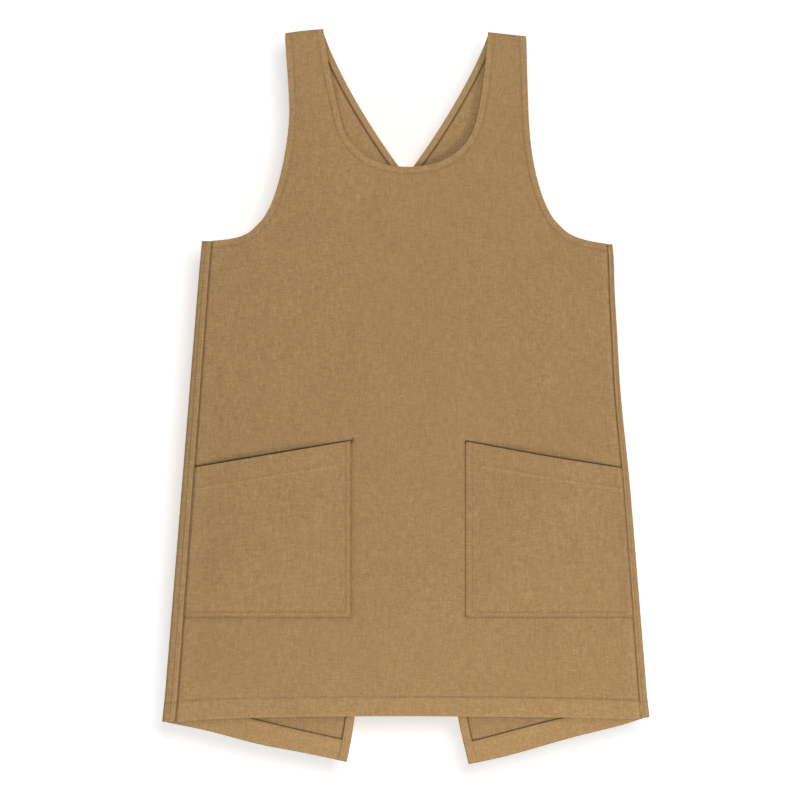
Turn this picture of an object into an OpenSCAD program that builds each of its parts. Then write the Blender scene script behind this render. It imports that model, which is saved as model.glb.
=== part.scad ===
// Cross-back linen smock apron, hanging flat from its shoulder folds.
// Millimetres. +Z is up, +X is to the right as the front is looked at, and the front faces -Y.
// The origin is on the shoulder line, midway between the two straps.
// Left and right are those of someone who looks at the front.
// Front and back lie one fold apart. The back of the cloth folds round the sides to the front,
// and the straps fold over the shoulders and cross behind the neck.

/* [Cloth] */
// Thickness of one layer of cloth
ply = 0.8; // [0.6:0.1:0.9]
// Thickness of a turned edge where it lies on the cloth
turned = 0.6; // [0.4:0.1:0.7]
// How far the stitching stands proud
thread = 0.2; // [0.1:0.05:0.2]
// Width of a row of stitching
row_w = 0.5; // [0.4:0.1:0.8]
// Outer radius of the side and shoulder folds, half the depth of the flat garment
fold_r = 4; // [3.9:0.1:5]

/* [Front panel] */
// Length from the shoulder line to the front hem at the centre
front_len = 887; // [840:1:930]
// How much lower the hem hangs at its corners
hem_dip = 7; // [0:0.5:8]
// Depth of the neckline below the shoulder line
neck_drop = 176; // [150:1:190]
// Half the distance between the straps at the shoulder
neck_half = 106.5; // [100:0.5:110]
// Width of a strap at the shoulder
strap_w = 49.5; // [46:0.5:54]
// Slope of the shoulder folds, downwards to the outside, in degrees
shoulder_slope = 6.3; // [3:0.1:8]
// Depth of the underarm below the shoulder line
underarm_drop = 274; // [262:1:290]
// Half the width of the garment at the underarm
underarm_half = 266; // [250:1:280]
// Half the width of the garment at the front hem
hem_half = 316; // [300:1:330]

/* [Seams and hems] */
// Width of the turned edges of the neck, the armholes and the back straps
edge_hem = 8; // [6:0.5:10]
// Depth of the front hem
front_hem_d = 25; // [18:1:32]
// Depth of the back flaps' hem
back_hem_d = 27; // [18:1:32]
// Width of the turned centre-back edges
centre_hem = 11; // [9:0.5:16]
// Distance of the side seam from the folded side edge at the underarm
seam_in_top = 10; // [9:0.5:14]
// Distance of the side seam from the folded side edge at the front hem
seam_in_hem = 14; // [9:0.5:20]
// Width of the felled allowance inside the side seam
fell_w = 6; // [4:0.5:6]
// How far the front cloth lies to the right of the folded sides
lay_shift = 3; // [0:0.5:3]
// Depth below the shoulder line from which it lies so far across
lay_drop = 100; // [60:5:140]

/* [Pockets] */
// Distance of the pockets' inner edges from the centre
pocket_in = 75; // [60:1:90]
// Depth of the pocket mouth's inner end below the shoulder line
pocket_top = 532; // [500:1:560]
// Slope of the pocket mouth, downwards to the outside, in degrees
pocket_slope = 9.6; // [0:0.1:12]
// Depth of the pocket's bottom edge below the shoulder line
pocket_bottom = 760; // [720:1:790]
// Inner depth of the filled-out pocket
pocket_depth = 5.6; // [5.2:0.1:8]
// Depth of the hem at the pocket mouth
mouth_hem_d = 27; // [18:1:30]

/* [Back] */
// Length from the shoulder line to the lowest corner of the back flaps
back_len = 949; // [900:1:980]
// Distance of a flap's centre-back edge from the centre, where it hangs straight
flap_in = 42; // [36:1:46]
// Distance of a flap's lowest corner from the centre
flap_corner = 79; // [60:1:100]
// Angle of the straps where they cross, from the vertical, in degrees
cross_angle = 38; // [36:0.5:40]
// Depth below the shoulder line at which the straps' neck edges cross
cross_drop = 187; // [180:1:195]
// Width of a strap at its seam with the opposite flap
strap_end_w = 56; // [52:1:60]

/* [Hidden] */
$fn = 48;

LEFT = -1;
RIGHT = 1;

linen = [0.66, 0.53, 0.36];
linen_inside = [0.69, 0.56, 0.39];
linen_turned = [0.72, 0.59, 0.41];
sewing_thread = [0.52, 0.40, 0.25];

// Depths. The front cloth's outer face is at front_y and the flaps' inner face at back_y.
front_y = -fold_r;
front_in_y = front_y + ply;
back_y = fold_r - ply;
// The left strap crosses in front of the right one, this far in front of it.
strap_step = 2.2;
// Open width of the hinge lines at the folds, and of the seam from a strap to its flap.
hinge_gap = 3;
seam_gap = 1;
// Part of the cloth that runs straight on past a fold's half-round, and how far short of the
// cloth's own edges each fold ends. The flat cloth ends halfway along the straight part.
fold_leg = 1;
fold_short = 0.6;
fold_join = fold_leg / 2;
// Distance from the side seam at which other turned edges end, clear of its felled allowance
fell_clear = fell_w / 2 + 0.2;

// Outlines are lists of [x, z] points.
function bez(a, b, c, d, n = 10) = [
    for (i = [0 : n]) let (t = i / n, s = 1 - t)
        s * s * s * a + 3 * s * s * t * b + 3 * s * t * t * c + t * t * t * d
];
function tail(pts) = [for (i = [1 : len(pts) - 1]) pts[i]];
function joined(a, b) = concat(a, tail(b));
function turned_round(pts) = [for (i = [len(pts) - 1 : -1 : 0]) pts[i]];
function mirrored(pts) = [for (p = turned_round(pts)) [-p.x, p.y]];
function unit(v) = v / norm(v);
function along(pts, i) = unit(pts[min(i + 1, len(pts) - 1)] - pts[max(i - 1, 0)]);
// The same line moved sideways by d, to the left of its own direction
function beside(pts, d) = [
    for (i = [0 : len(pts) - 1]) let (v = along(pts, i)) pts[i] + d * [-v.y, v.x]
];

// The folded side edge, the fold's axis and the side seam, at a height z
front_low = front_len + hem_dip;
side_run = (hem_half - underarm_half) / (front_low - underarm_drop);
side_tilt = atan(side_run);
function side_x(z) = underarm_half + side_run * (-z - underarm_drop);
function axis_x(z) = side_x(z) - fold_r;
function seam_in(z) = seam_in_top
    + (seam_in_hem - seam_in_top) * (-z - underarm_drop) / (front_low - underarm_drop);
function seam_x(side, z) = side_x(z) - seam_in(z) + side * lay_shift;

// The front cloth lies off centre below the straps: its [x, z] points, moved to the right
function laid(pts, side) = [for (p = pts) [p.x + side * lay_shift * min(1, -p.y / lay_drop), p.y]];

// The neckline, from the left strap to the right one
strap_out = neck_half + strap_w;
shoulder_drop = strap_w * tan(shoulder_slope);
neck_turn = [0.832 * neck_half, -0.648 * neck_drop];
right_neck = joined(
    bez([0, -neck_drop], [0.43 * neck_half, -neck_drop],
        [0.742 * neck_half, -0.881 * neck_drop], neck_turn),
    bez(neck_turn, [0.881 * neck_half, -0.523 * neck_drop],
        [0.962 * neck_half, -0.284 * neck_drop], [neck_half, -fold_r - fold_join]));
neck_line = laid(joined(mirrored(right_neck), right_neck), RIGHT);

// A strap's outer edge and the armhole, from the shoulder fold to the side seam
arm_top = [strap_out, -fold_r - shoulder_drop - fold_join];
arm_upper = [strap_out - 0.8, -0.38 * underarm_drop];
arm_room = underarm_half - seam_in_top - strap_out;
arm_lower = [strap_out + 0.366 * arm_room, -0.905 * underarm_drop];
arm_end = [strap_out + arm_room, -underarm_drop];
arm_shape = joined(
    joined([arm_top, [strap_out - 0.6, -0.2 * underarm_drop]],
        [[strap_out - 0.6, -0.2 * underarm_drop], arm_upper]),
    joined(
        bez(arm_upper, [strap_out + 0.015 * arm_room, -0.63 * underarm_drop],
            [strap_out + 0.185 * arm_room, -0.84 * underarm_drop], arm_lower),
        bez(arm_lower, [strap_out + 0.486 * arm_room, -0.949 * underarm_drop],
            [strap_out + 0.53 * arm_room, -0.985 * underarm_drop], arm_end)));
function arm_line(side) = laid(arm_shape, side);

// The front hem's edge, from the left side seam to the right one
hem_left = [-seam_x(LEFT, -front_low), -front_low];
hem_right = [seam_x(RIGHT, -front_low), -front_low];
hem_line = bez(hem_left, hem_left + [0.3 * hem_half, hem_dip],
    hem_right + [-0.3 * hem_half, hem_dip], hem_right, 12);

front_outline = concat(
    neck_line,
    arm_line(RIGHT),
    turned_round(hem_line),
    mirrored(arm_line(LEFT)));

// A pocket's corners. The mouth's outer end is where its slope meets the side seam.
function pocket_x(side) = pocket_in + side * lay_shift;
function mouth_z(side, x) = -pocket_top - (x - pocket_x(side)) * tan(pocket_slope);
function mouth_out(side) = let (x = seam_x(side, mouth_z(side, seam_x(side, -pocket_top))))
    [x, mouth_z(side, x)];
function pocket_outline(side) = [
    [pocket_x(side), -pocket_top],
    mouth_out(side),
    [seam_x(side, -pocket_bottom), -pocket_bottom],
    [pocket_x(side), -pocket_bottom]
];
// Height of its flat bottom border, and the height at which it is filled out
pocket_border = 6;
pocket_rise = 40;
pocket_out_y = front_y - pocket_depth - ply;

// A strap, from the right shoulder to the left flap: its neck edge, arm edge and end.
// It leaves the shoulder at leave_dir and ends square to cross_dir, seam_run past the crossing.
leave_dir = [-sin(18), -cos(18)];
cross_dir = [-sin(cross_angle), -cos(cross_angle)];
cross_pt = [0, -cross_drop];
seam_run = 117;
strap_top_in = [neck_half, -fold_r - hinge_gap];
strap_top_out = [strap_out, -fold_r - shoulder_drop - hinge_gap];
strap_seam_in = cross_pt + seam_run * cross_dir;
strap_seam_out = strap_seam_in + strap_end_w * [-cross_dir.y, cross_dir.x];
strap_end_in = strap_seam_in - seam_gap / 2 * cross_dir;
strap_end_out = strap_seam_out - seam_gap / 2 * cross_dir;
strap_neck_line = joined(
    bez(strap_top_in, strap_top_in + 0.24 * cross_drop * leave_dir,
        cross_pt - 0.38 * cross_drop * cross_dir, cross_pt),
    [cross_pt, strap_end_in]);
strap_arm_line = bez(strap_top_out, strap_top_out + 0.37 * cross_drop * leave_dir,
    strap_end_out - 0.8 * cross_drop * cross_dir, strap_end_out, 14);
strap_outline = concat(strap_neck_line, turned_round(strap_arm_line));

// The right flap: its armhole edge, centre-back edge and hem edge.
// The centre-back edge hangs straight from straight_drop and flares to the hem.
straight_drop = 400;
flare = 12.3;
flap_seam_in = mirrored([strap_seam_in + seam_gap / 2 * cross_dir])[0];
flap_seam_out = mirrored([strap_seam_out + seam_gap / 2 * cross_dir])[0];
flap_side_top = [axis_x(-underarm_drop) - hinge_gap, -underarm_drop];
flap_side_low = [axis_x(-front_low) - hinge_gap, -front_low];
flap_dir = [-cross_dir.x, cross_dir.y];
flap_arm_line = bez(flap_seam_in, flap_seam_in + strap_end_w * flap_dir,
    flap_side_top - [0.25 * underarm_half, 6], flap_side_top, 14);
flap_straight = [flap_in, -straight_drop];
flap_low = [flap_corner, -back_len];
flare_arm = (back_len - straight_drop) / 3;
flap_centre_line = joined(
    bez(flap_seam_out, flap_seam_out + 12 * flap_dir, flap_straight + [0, 40], flap_straight, 6),
    bez(flap_straight, flap_straight - [0, flare_arm],
        flap_low + flare_arm * [-sin(flare), cos(flare)], flap_low, 12));
flap_hem_line = [flap_low, flap_side_low];
flap_outline = concat(
    flap_arm_line,
    turned_round(flap_hem_line),
    turned_round(flap_centre_line));

// An [x, z] shape as a flat piece of cloth between the depths y and y + t
module flat(y, t) translate([0, y + t, 0]) rotate([90, 0, 0]) linear_extrude(t) children();

module on_left() mirror([1, 0, 0]) children();

// The strip between a line and the same line moved sideways
module strip(pts, d0, d1) polygon(concat(beside(pts, d0), turned_round(beside(pts, d1))));

// A half-round fold of cloth in section, open to -Y of its own plane, with straight legs
module fold_section() {
    difference() {
        circle(fold_r);
        circle(fold_r - ply);
        translate([-2 * fold_r, -2 * fold_r]) square([4 * fold_r, 2 * fold_r]);
    }
    for (x = [-fold_r, fold_r - ply])
        translate([x, -fold_leg]) square([ply, fold_leg]);
}

module right_shoulder_roll()
    translate([neck_half, 0, -fold_r]) rotate([0, shoulder_slope, 0])
        rotate([90, 0, 90]) translate([0, 0, fold_short])
            linear_extrude(strap_w / cos(shoulder_slope) - 2 * fold_short) fold_section();

module front_panel() color(linen) {
    flat(front_y, ply) polygon(front_outline);
    right_shoulder_roll();
    on_left() right_shoulder_roll();
}

module neck_facing() color(linen_turned)
    flat(front_in_y, turned) intersection() {
        strip(neck_line, 0, -edge_hem);
        polygon(front_outline);
    }

module armhole_facing(side) color(linen_turned)
    flat(front_in_y, turned) strip(arm_line(side), 0, -edge_hem);

module left_armhole_facing() on_left() armhole_facing(LEFT);
module right_armhole_facing() armhole_facing(RIGHT);

// It ends just short of the felled side seams
module front_hem() color(linen_turned)
    flat(front_in_y, turned) intersection() {
        hem_top = -front_low + 2 * front_hem_d;
        strip(hem_line, 0, front_hem_d);
        polygon(front_outline);
        polygon([
            [-seam_x(LEFT, hem_top) + fell_clear, hem_top],
            [seam_x(RIGHT, hem_top) - fell_clear, hem_top],
            hem_right - [fell_clear, 0],
            hem_left + [fell_clear, 0]
        ]);
    }

// The back cloth where it folds round the side and meets the front panel at the seam
module side_wrap(side) color(linen) {
    flat(front_y, ply) polygon([
        [seam_x(side, -underarm_drop), -underarm_drop],
        [axis_x(-underarm_drop) - fold_join, -underarm_drop],
        [axis_x(-front_low) - fold_join, -front_low],
        [seam_x(side, -front_low), -front_low]
    ]);
    translate([axis_x(-front_low), 0, -front_low]) rotate([0, -side_tilt, 0])
        translate([0, 0, fold_short])
            linear_extrude((front_low - underarm_drop) / cos(side_tilt) - 2 * fold_short)
                rotate(-90) fold_section();
}

module left_side_wrap() on_left() side_wrap(LEFT);
module right_side_wrap() side_wrap(RIGHT);

function seam_line(side) = [
    [seam_x(side, -underarm_drop), -underarm_drop - edge_hem],
    [seam_x(side, -front_low), -front_low]
];

module side_seam(side) color(linen_inside)
    flat(front_in_y, turned) strip(seam_line(side), -fell_w / 2, fell_w / 2);

module left_side_seam() on_left() side_seam(LEFT);
module right_side_seam() side_seam(RIGHT);

// A pocket's shape seen from the side, as [y, z] points: flat at its bottom border, then filled out
module pocket_profile(out, back) {
    polygon([
        [front_y - back, -pocket_bottom],
        [front_y - ply - out, -pocket_bottom],
        [front_y - ply - out, -pocket_bottom + pocket_border],
        [pocket_out_y - out, -pocket_bottom + pocket_rise],
        [pocket_out_y - out, 0],
        [pocket_out_y + ply - back, 0],
        [pocket_out_y + ply - back, -pocket_bottom + pocket_rise],
        [front_y - back, -pocket_bottom + pocket_border]
    ]);
}

// The same shape filled in as far as the front cloth, for the edges sewn down to it
module pocket_edge_profile() {
    polygon([
        [front_y, -pocket_bottom],
        [front_y - ply, -pocket_bottom],
        [front_y - ply, -pocket_bottom + pocket_border],
        [pocket_out_y, -pocket_bottom + pocket_rise],
        [pocket_out_y, 0],
        [front_y, 0]
    ]);
}

module across() rotate([90, 0, 90]) linear_extrude(hem_half) children();

module pocket(side) color(linen) {
    outline = pocket_outline(side);
    intersection() {
        flat(2 * pocket_out_y, -2 * pocket_out_y) polygon(outline);
        union() {
            across() pocket_profile(0, 0);
            intersection() {
                across() pocket_edge_profile();
                flat(2 * pocket_out_y, -2 * pocket_out_y) {
                    strip([outline[3], outline[0]], 0, -ply);
                    strip([outline[1], outline[2]], 0, -ply);
                }
            }
        }
    }
}

module left_pocket() on_left() pocket(LEFT);
module right_pocket() pocket(RIGHT);

module pocket_mouth_hem(side) color(linen_turned) {
    outline = pocket_outline(side);
    flat(pocket_out_y + ply, turned) intersection() {
        strip([outline[0], outline[1]], 0, -mouth_hem_d);
        polygon([
            outline[0] + [ply, 0],
            [seam_x(side, outline[0].y) - 2 * ply, outline[0].y],
            outline[2] - [2 * ply, 0],
            outline[3] + [ply, 0]
        ]);
    }
}

module left_pocket_mouth_hem() on_left() pocket_mouth_hem(LEFT);
module right_pocket_mouth_hem() pocket_mouth_hem(RIGHT);

module neck_stitching() color(sewing_thread)
    flat(front_y - thread, thread) strip(neck_line, -edge_hem, -edge_hem + row_w);

module armhole_stitching(side) color(sewing_thread)
    flat(front_y - thread, thread) strip(arm_line(side), -edge_hem, -edge_hem + row_w);

module left_armhole_stitching() on_left() armhole_stitching(LEFT);
module right_armhole_stitching() armhole_stitching(RIGHT);

module front_hem_stitching() color(sewing_thread)
    flat(front_y - thread, thread) intersection() {
        strip(hem_line, front_hem_d - row_w, front_hem_d);
        polygon(front_outline);
    }

// Two rows on the wrapped cloth, beside the seam
module side_stitching(side) color(sewing_thread)
    flat(front_y - thread, thread)
        for (d = [0.8, fell_w / 2 - row_w])
            strip(seam_line(side), d, d + row_w);

module left_side_stitching() on_left() side_stitching(LEFT);
module right_side_stitching() side_stitching(RIGHT);

// Rows along the pocket's inner edge, bottom edge and mouth hem
module pocket_stitching(side) color(sewing_thread) {
    outline = pocket_outline(side);
    intersection() {
        across() pocket_profile(thread, ply);
        flat(2 * pocket_out_y, -2 * pocket_out_y) intersection() {
            polygon(outline);
            union() {
                for (d = [1.5, 7])
                    strip([outline[3], outline[0]], -d, -d - row_w);
                strip([outline[3], outline[2]], 2, 2 + row_w);
                strip([outline[0], outline[1]], -mouth_hem_d, -mouth_hem_d + row_w);
            }
        }
    }
}

module left_pocket_stitching() on_left() pocket_stitching(LEFT);
module right_pocket_stitching() pocket_stitching(RIGHT);

module back_flap() color(linen) flat(back_y, ply) polygon(flap_outline);

module left_back_flap() on_left() back_flap();
module right_back_flap() back_flap();

// What lies on the inner face of a flap
module on_flap(t) flat(back_y - t, t) intersection() {
    polygon(flap_outline);
    children();
}

module flap_hem() color(linen_turned) on_flap(turned) difference() {
    strip(flap_hem_line, 0, back_hem_d);
    strip(flap_centre_line, -1, centre_hem);
}

module left_flap_hem() on_left() flap_hem();
module right_flap_hem() flap_hem();

module flap_centre_facing() color(linen_turned)
    on_flap(turned) strip(flap_centre_line, -1, centre_hem);

module left_flap_centre_facing() on_left() flap_centre_facing();
module right_flap_centre_facing() flap_centre_facing();

module flap_armhole_facing() color(linen_turned) on_flap(turned) difference() {
    strip(flap_arm_line, 1, -edge_hem);
    strip(flap_centre_line, -1, centre_hem);
}

module left_flap_armhole_facing() on_left() flap_armhole_facing();
module right_flap_armhole_facing() flap_armhole_facing();

// Rows on the turned edges, towards the wearer
module flap_stitching() color(sewing_thread)
    flat(back_y - turned - thread, thread) intersection() {
        polygon(flap_outline);
        union() {
            difference() {
                union() {
                    strip(flap_hem_line, back_hem_d - 2 * row_w, back_hem_d - row_w);
                    strip(flap_arm_line, -edge_hem + row_w, -edge_hem + 2 * row_w);
                }
                strip(flap_centre_line, -1, centre_hem);
            }
            strip(flap_centre_line, centre_hem - 2 * row_w, centre_hem - row_w);
        }
    }

module left_flap_stitching() on_left() flap_stitching();
module right_flap_stitching() flap_stitching();

// What lies on a strap, or the strap itself, as it runs down from the right shoulder
module on_strap(y, t) flat(y, t) intersection() {
    polygon(strap_outline);
    children();
}

module strap(y) color(linen_inside) on_strap(y, ply) polygon(strap_outline);

module strap_neck_hem(y) color(linen_turned)
    on_strap(y - turned, turned) strip(strap_neck_line, -1, edge_hem);

module strap_arm_hem(y) color(linen_turned)
    on_strap(y - turned, turned) strip(strap_arm_line, 1, -edge_hem);

module strap_stitching(y) color(sewing_thread) on_strap(y - turned - thread, thread) {
    strip(strap_neck_line, edge_hem - 2 * row_w, edge_hem - row_w);
    strip(strap_arm_line, -edge_hem + row_w, -edge_hem + 2 * row_w);
}

// The left strap starts at the left shoulder
module left_back_strap() on_left() strap(back_y - strap_step);
module left_strap_neck_hem() on_left() strap_neck_hem(back_y - strap_step);
module left_strap_arm_hem() on_left() strap_arm_hem(back_y - strap_step);
module left_strap_stitching() on_left() strap_stitching(back_y - strap_step);
module right_back_strap() strap(back_y);
module right_strap_neck_hem() strap_neck_hem(back_y);
module right_strap_arm_hem() strap_arm_hem(back_y);
module right_strap_stitching() strap_stitching(back_y);

front_panel();
neck_facing();
left_armhole_facing();
right_armhole_facing();
front_hem();
left_side_wrap();
right_side_wrap();
left_side_seam();
right_side_seam();
left_pocket();
right_pocket();
left_pocket_mouth_hem();
right_pocket_mouth_hem();
neck_stitching();
left_armhole_stitching();
right_armhole_stitching();
front_hem_stitching();
left_side_stitching();
right_side_stitching();
left_pocket_stitching();
right_pocket_stitching();
left_back_flap();
left_flap_hem();
left_flap_centre_facing();
left_flap_armhole_facing();
left_flap_stitching();
right_back_flap();
right_flap_hem();
right_flap_centre_facing();
right_flap_armhole_facing();
right_flap_stitching();
left_back_strap();
left_strap_neck_hem();
left_strap_arm_hem();
left_strap_stitching();
right_back_strap();
right_strap_neck_hem();
right_strap_arm_hem();
right_strap_stitching();
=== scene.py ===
"""A cross-back linen smock apron, hanging flat from its shoulder folds.

Outlines are drawn in millimetres, as [x, z] points on the flat garment, and each piece of cloth
has a depth function that gives y there. Left and right are those of someone looking at the front,
which faces -Y. Meshes are in metres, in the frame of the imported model.
"""
import math
import random
from functools import partial

import bmesh
import bpy
import numpy as np
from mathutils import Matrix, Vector, kdtree, noise
from mathutils.geometry import delaunay_2d_cdt


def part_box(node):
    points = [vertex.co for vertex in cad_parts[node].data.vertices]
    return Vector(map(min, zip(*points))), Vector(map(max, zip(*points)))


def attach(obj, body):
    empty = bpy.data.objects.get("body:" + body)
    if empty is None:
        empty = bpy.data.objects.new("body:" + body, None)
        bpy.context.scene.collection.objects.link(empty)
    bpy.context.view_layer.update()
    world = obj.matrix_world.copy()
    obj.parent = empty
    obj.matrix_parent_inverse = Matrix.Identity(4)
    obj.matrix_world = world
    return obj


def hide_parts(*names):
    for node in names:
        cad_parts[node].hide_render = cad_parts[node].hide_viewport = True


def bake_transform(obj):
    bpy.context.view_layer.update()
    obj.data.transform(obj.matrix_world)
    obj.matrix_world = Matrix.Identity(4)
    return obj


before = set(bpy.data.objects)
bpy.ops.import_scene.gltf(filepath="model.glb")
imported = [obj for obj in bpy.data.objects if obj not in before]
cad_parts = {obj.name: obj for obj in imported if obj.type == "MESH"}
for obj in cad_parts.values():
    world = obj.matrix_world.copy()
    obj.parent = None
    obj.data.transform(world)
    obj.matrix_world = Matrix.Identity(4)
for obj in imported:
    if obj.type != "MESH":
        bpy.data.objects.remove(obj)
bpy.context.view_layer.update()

MM = 0.001
LEFT, RIGHT = -1, 1
SIDES = {"left": LEFT, "right": RIGHT}


def low(node):
    return Vector(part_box(node)[0]) / MM


def high(node):
    return Vector(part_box(node)[1]) / MM


# -------- sizes, in millimetres

PLY = 0.55            # one layer of the linen
TURNED = 1.1          # an edge turned twice, as it lies on the cloth
EDGE_HEM = 8.0        # turned edges of the neck, armholes and back straps
FRONT_HEM = 25.0
BACK_HEM = 27.0
CENTRE_HEM = 11.0     # turned centre-back edges
MOUTH_HEM = 27.0
STRAP_W = 49.5
SHOULDER_SLOPE = math.radians(6.3)
UNDERARM_HALF = 266.0              # half the width at the underarms
HEM_DIP = 7.0                      # how far the middle of the front hem curves up
SEAM_IN_TOP, SEAM_IN_HEM = 10.0, 14.0    # side seams in from the side folds
LAY_SHIFT, LAY_DROP = 3.0, 100.0   # the front cloth lies so far to the right, below this depth
POCKET_SLOPE = math.radians(9.6)
FLARE = math.radians(12.3)         # slope of a flap's centre edge at its lower corner
CROSS_ANGLE = math.radians(38)     # a back strap's slope where the two cross
CROSS_DROP = 187.0                 # their crossing, below the shoulder folds
STRAP_END_W = 56.0
FLAP_IN, STRAIGHT_DROP = 42.0, 400.0    # a flap's centre edge, straight down to this depth
FLAP_CORNER = 79.0                 # a flap's lower inner corner, from the centre line
EDGE_GAP = 0.5        # turned layers start so far in from the cloth's edge
ROW_IN = 1.2          # the stitching of a back hem lies so far inside its width
SEWN_ROWS = 1.6, 7.0  # rows of stitching along a pocket's sewn edges
SEAM_ROW = 1.6        # first row of stitching beside a seam
EDGE_STEP, SEAM_STEP, PANEL_STEP = 3.0, 5.0, 4.0   # distances between points along edges

FRONT_LOW = -low("right_side_wrap").z
UNDERARM_DROP = -high("right_side_wrap").z
HEM_HALF = high("right_side_wrap").x
STRAP_OUT = high("right_back_strap").x
NECK_HALF = STRAP_OUT - STRAP_W
NECK_DROP = -low("neck_facing").z - EDGE_HEM
POCKET_TOP = -high("right_pocket").z
POCKET_BOTTOM = -low("right_pocket").z
POCKET_IN = low("right_pocket").x - LAY_SHIFT
BACK_LEN = -low("right_back_flap").z
FOLD_R = high("front_panel").y

FRONT_Y = -FOLD_R + PLY / 2      # middle of the front cloth
FLAP_Y = FOLD_R - PLY / 2        # middle of the flaps
FOLD_MID = FOLD_R - PLY / 2      # radius of the folds, at the middle of the cloth
LEFT_CROSS_Y, RIGHT_CROSS_Y = 1.0, 4.6   # middle of each strap where they cross


# -------- lines

def bez(a, b, c, d, n=24):
    """n + 1 points on a curve from a to d, pulled towards b and c."""
    a, b, c, d = (np.array(p, float) for p in (a, b, c, d))
    t = np.linspace(0, 1, n + 1)[:, None]
    s = 1 - t
    return s ** 3 * a + 3 * s * s * t * b + 3 * s * t * t * c + t ** 3 * d


def joined(*lines):
    lines = [np.array(line, float) for line in lines]
    return np.vstack([lines[0]] + [line[1:] for line in lines[1:]])


def mirrored(line):
    """The line on the other side, run the other way."""
    return line[::-1] * [-1, 1]


def run_along(line):
    """How far along the line each of its points is."""
    return np.concatenate([[0], np.cumsum(np.linalg.norm(np.diff(line, axis=0), axis=1))])


def interpolated(at, along, line):
    return np.stack([np.interp(at, along, line[:, k]) for k in range(line.shape[1])], axis=1)


def resampled(line, step):
    """The same line with its points evenly spaced, about step apart."""
    line = np.array(line, float)
    run = run_along(line)
    return interpolated(np.linspace(0, run[-1], max(2, round(run[-1] / step) + 1)), run, line)


def spread(line, count):
    """count points on the line, evenly spaced in its own list of points."""
    return interpolated(np.linspace(0, 1, count), np.linspace(0, 1, len(line)), line)


def trimmed(line, start, end):
    """The line without its first start and last end millimetres."""
    line = resampled(line, 1.0)
    run = run_along(line)
    return line[(run >= start) & (run <= run[-1] - end)]


def left_normals(line):
    """Unit vectors to the left of the line's own direction."""
    d = np.gradient(line, axis=0)
    d /= np.linalg.norm(d, axis=1)[:, None]
    return np.stack([-d[:, 1], d[:, 0]], axis=1)


def beside(line, d):
    """The line moved d to its left."""
    return line + np.asarray(d).reshape(-1, 1) * left_normals(line)


SIDE_RUN = (HEM_HALF - UNDERARM_HALF) / (FRONT_LOW - UNDERARM_DROP)


def side_x(z):
    return UNDERARM_HALF + SIDE_RUN * (-z - UNDERARM_DROP)


def axis_x(z):
    return side_x(z) - FOLD_R


def seam_x(side, z):
    share = (-z - UNDERARM_DROP) / (FRONT_LOW - UNDERARM_DROP)
    return side_x(z) - SEAM_IN_TOP - (SEAM_IN_HEM - SEAM_IN_TOP) * share + side * LAY_SHIFT


def laid(line, side):
    """The front cloth's points, moved to where it lies."""
    return line + np.stack([side * LAY_SHIFT * np.minimum(1, -line[:, 1] / LAY_DROP),
                            np.zeros(len(line))], axis=1)


neck_turn = [0.832 * NECK_HALF, -0.648 * NECK_DROP]
right_neck = joined(
    bez([0, -NECK_DROP], [0.43 * NECK_HALF, -NECK_DROP],
        [0.742 * NECK_HALF, -0.881 * NECK_DROP], neck_turn),
    bez(neck_turn, [0.881 * NECK_HALF, -0.523 * NECK_DROP],
        [0.962 * NECK_HALF, -0.284 * NECK_DROP], [NECK_HALF, -FOLD_R]))
NECK = laid(joined(mirrored(right_neck), right_neck), RIGHT)
NECK[0], NECK[-1] = [-NECK_HALF, -FOLD_R], [NECK_HALF, -FOLD_R]
SHOULDER_OUT = [STRAP_OUT, -FOLD_R - STRAP_W * math.tan(SHOULDER_SLOPE)]


def arm_line(side):
    """A front strap's outer edge and its armhole, from the shoulder to the side seam."""
    room = UNDERARM_HALF - SEAM_IN_TOP - STRAP_OUT
    upper = [STRAP_OUT - 0.8, -0.38 * UNDERARM_DROP]
    lower = [STRAP_OUT + 0.366 * room, -0.905 * UNDERARM_DROP]
    line = laid(joined(
        [SHOULDER_OUT, [STRAP_OUT - 0.6, -0.2 * UNDERARM_DROP], upper],
        bez(upper, [STRAP_OUT + 0.015 * room, -0.63 * UNDERARM_DROP],
            [STRAP_OUT + 0.185 * room, -0.84 * UNDERARM_DROP], lower),
        bez(lower, [STRAP_OUT + 0.486 * room, -0.949 * UNDERARM_DROP],
            [STRAP_OUT + 0.53 * room, -0.985 * UNDERARM_DROP],
            [STRAP_OUT + room, -UNDERARM_DROP])), side)
    line[0] = SHOULDER_OUT
    return line


def seam_line(side):
    z = np.array([-UNDERARM_DROP, -FRONT_LOW])
    return np.stack([seam_x(side, z), z], axis=1)


HEM_LEFT = np.array([-seam_x(LEFT, -FRONT_LOW), -FRONT_LOW])
HEM_RIGHT = np.array([seam_x(RIGHT, -FRONT_LOW), -FRONT_LOW])
HEM = bez(HEM_LEFT, HEM_LEFT + [0.3 * HEM_HALF, HEM_DIP], HEM_RIGHT + [-0.3 * HEM_HALF, HEM_DIP],
          HEM_RIGHT, 60)

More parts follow.
